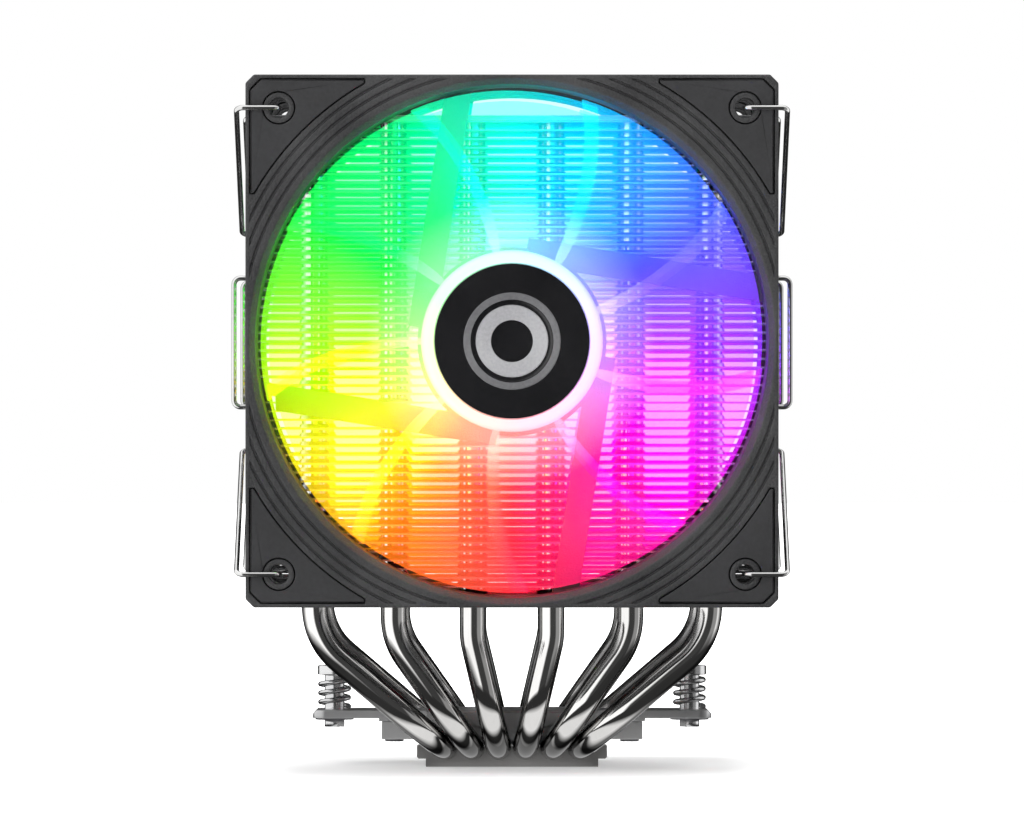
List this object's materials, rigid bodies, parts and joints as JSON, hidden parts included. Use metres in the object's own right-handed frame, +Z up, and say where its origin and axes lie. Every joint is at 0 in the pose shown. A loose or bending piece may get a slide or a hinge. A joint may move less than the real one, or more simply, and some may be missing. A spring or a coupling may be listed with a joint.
{
  "type": "cpu tower cooler",
  "caption": "Dual-tower air cooler for a processor: fin stacks on U-shaped heat pipes, ring-lit fans held by wire clips, and a crossbar with sprung screws.",
  "frame": {"origin": "centre of the cold plate's contact face", "axes": "+Z up the towers, away from the processor; the fans' open faces look along -Y; +X to the right seen from the front"},
  "size_m": [0.129, 0.1408, 0.1582],
  "materials": {
    "nickel_plate": "nickel-plated copper, fine machined lines",
    "clamp_metal": "nickel-plated, satin",
    "bar_steel": "nickel-plated steel, satin",
    "dark_screw": "dark zinc",
    "pipe_plating": "nickel-plated, polished",
    "fin_aluminium": "bright rolled sheet",
    "cover_aluminium": "brushed sheet",
    "spring_steel": "drawn wire",
    "screw_steel": "nickel-plated, turned",
    "frame_plastic": "fine moulded grain",
    "pad_rubber": "smooth satin rubber",
    "bearing_brass": "sintered",
    "stator_steel": "laminated sheet",
    "coil_copper": "enamelled copper wire",
    "board_green": "solder mask",
    "led_white": "clear lens",
    "label_grey": "plain foil disc",
    "blade_plastic": "translucent, lit from the hub",
    "magnet_dark": "bonded ferrite",
    "badge_black": "black disc with plain rings",
    "clip_wire": "bright spring wire"
  },
  "bodies": {
    "tower": {"cold_plate": "nickel_plate", "pipe_clamp_block": "clamp_metal", "mounting_bar": "bar_steel", "bar_screws": "dark_screw", "heat_pipe_1": "pipe_plating", "heat_pipe_2": "pipe_plating", "heat_pipe_3": "pipe_plating", "heat_pipe_4": "pipe_plating", "heat_pipe_5": "pipe_plating", "heat_pipe_6": "pipe_plating", "front_fin_stack": "fin_aluminium", "rear_fin_stack": "fin_aluminium", "front_cover_plate": "cover_aluminium", "rear_cover_plate": "cover_aluminium", "left_spring": "spring_steel", "right_spring": "spring_steel"},
    "left_screw_ring": {"left_retaining_ring": "dark_screw"},
    "left_screw": {"left_spring_screw": "screw_steel"},
    "right_screw_ring": {"right_retaining_ring": "dark_screw"},
    "right_screw": {"right_spring_screw": "screw_steel"},
    "front_fan": {"front_fan_frame": "frame_plastic", "front_fan_pads": "pad_rubber", "front_bearing": "bearing_brass", "front_stator_core": "stator_steel", "front_stator_coils": "coil_copper", "front_circuit_board": "board_green", "front_leds": "led_white", "front_rear_label": "label_grey"},
    "front_rotor": {"front_impeller": "blade_plastic", "front_rotor_yoke": "stator_steel", "front_rotor_magnet": "magnet_dark", "front_shaft": "screw_steel", "front_hub_badge": "badge_black"},
    "front_left_clip": {"front_clip_left": "clip_wire"},
    "front_right_clip": {"front_clip_right": "clip_wire"},
    "middle_fan": {"middle_fan_frame": "frame_plastic", "middle_fan_pads": "pad_rubber", "middle_bearing": "bearing_brass", "middle_stator_core": "stator_steel", "middle_stator_coils": "coil_copper", "middle_circuit_board": "board_green", "middle_leds": "led_white", "middle_rear_label": "label_grey"},
    "middle_rotor": {"middle_impeller": "blade_plastic", "middle_rotor_yoke": "stator_steel", "middle_rotor_magnet": "magnet_dark", "middle_shaft": "screw_steel", "middle_hub_badge": "badge_black"},
    "middle_left_clip": {"middle_clip_left": "clip_wire"},
    "middle_right_clip": {"middle_clip_right": "clip_wire"}
  },
  "joints": [
    {"name": "left_screw_press", "type": "slide", "parent": "tower", "child": "left_screw_ring", "axis": [0, 0, -1], "range_m": [0, 0.0025], "stiffness_N_per_m": 3000, "springref_m": -0.001, "deforming": ["left_spring"]},
    {"name": "left_screw_turn", "type": "hinge", "parent": "left_screw_ring", "child": "left_screw", "pos_m": [-0.0415, 0, 0.0128], "axis": [0, 0, 1], "continuous": true},
    {"name": "right_screw_press", "type": "slide", "parent": "tower", "child": "right_screw_ring", "axis": [0, 0, -1], "range_m": [0, 0.0025], "stiffness_N_per_m": 3000, "springref_m": -0.001, "deforming": ["right_spring"]},
    {"name": "right_screw_turn", "type": "hinge", "parent": "right_screw_ring", "child": "right_screw", "pos_m": [0.0415, 0, 0.0128], "axis": [0, 0, 1], "continuous": true},
    {"name": "front_fan_height", "type": "slide", "parent": "tower", "child": "front_fan", "axis": [0, 0, 1], "range_m": [-0.008, 0.005]},
    {"name": "front_fan_spin", "type": "hinge", "parent": "front_fan", "child": "front_rotor", "pos_m": [0, -0.0693, 0.0982], "axis": [0, 1, 0], "continuous": true},
    {"name": "front_left_clip_swing", "type": "hinge", "parent": "front_fan", "child": "front_left_clip", "pos_m": [-0.0525, -0.0823, 0.0982], "axis": [0, 0, 1], "range_deg": [0, 25], "stiffness_Nm_per_rad": 0.04},
    {"name": "front_right_clip_swing", "type": "hinge", "parent": "front_fan", "child": "front_right_clip", "pos_m": [0.0525, -0.0823, 0.0982], "axis": [0, 0, -1], "range_deg": [0, 25], "stiffness_Nm_per_rad": 0.04},
    {"name": "middle_fan_height", "type": "slide", "parent": "tower", "child": "middle_fan", "axis": [0, 0, 1], "range_m": [-0.008, 0.005]},
    {"name": "middle_fan_spin", "type": "hinge", "parent": "middle_fan", "child": "middle_rotor", "pos_m": [0, 0.0017, 0.0982], "axis": [0, 1, 0], "continuous": true},
    {"name": "middle_left_clip_swing", "type": "hinge", "parent": "middle_fan", "child": "middle_left_clip", "pos_m": [-0.0525, -0.0113, 0.0982], "axis": [0, 0, 1], "range_deg": [0, 7], "stiffness_Nm_per_rad": 0.04},
    {"name": "middle_right_clip_swing", "type": "hinge", "parent": "middle_fan", "child": "middle_right_clip", "pos_m": [0.0525, -0.0113, 0.0982], "axis": [0, 0, -1], "range_deg": [0, 7], "stiffness_Nm_per_rad": 0.04}
  ]
}
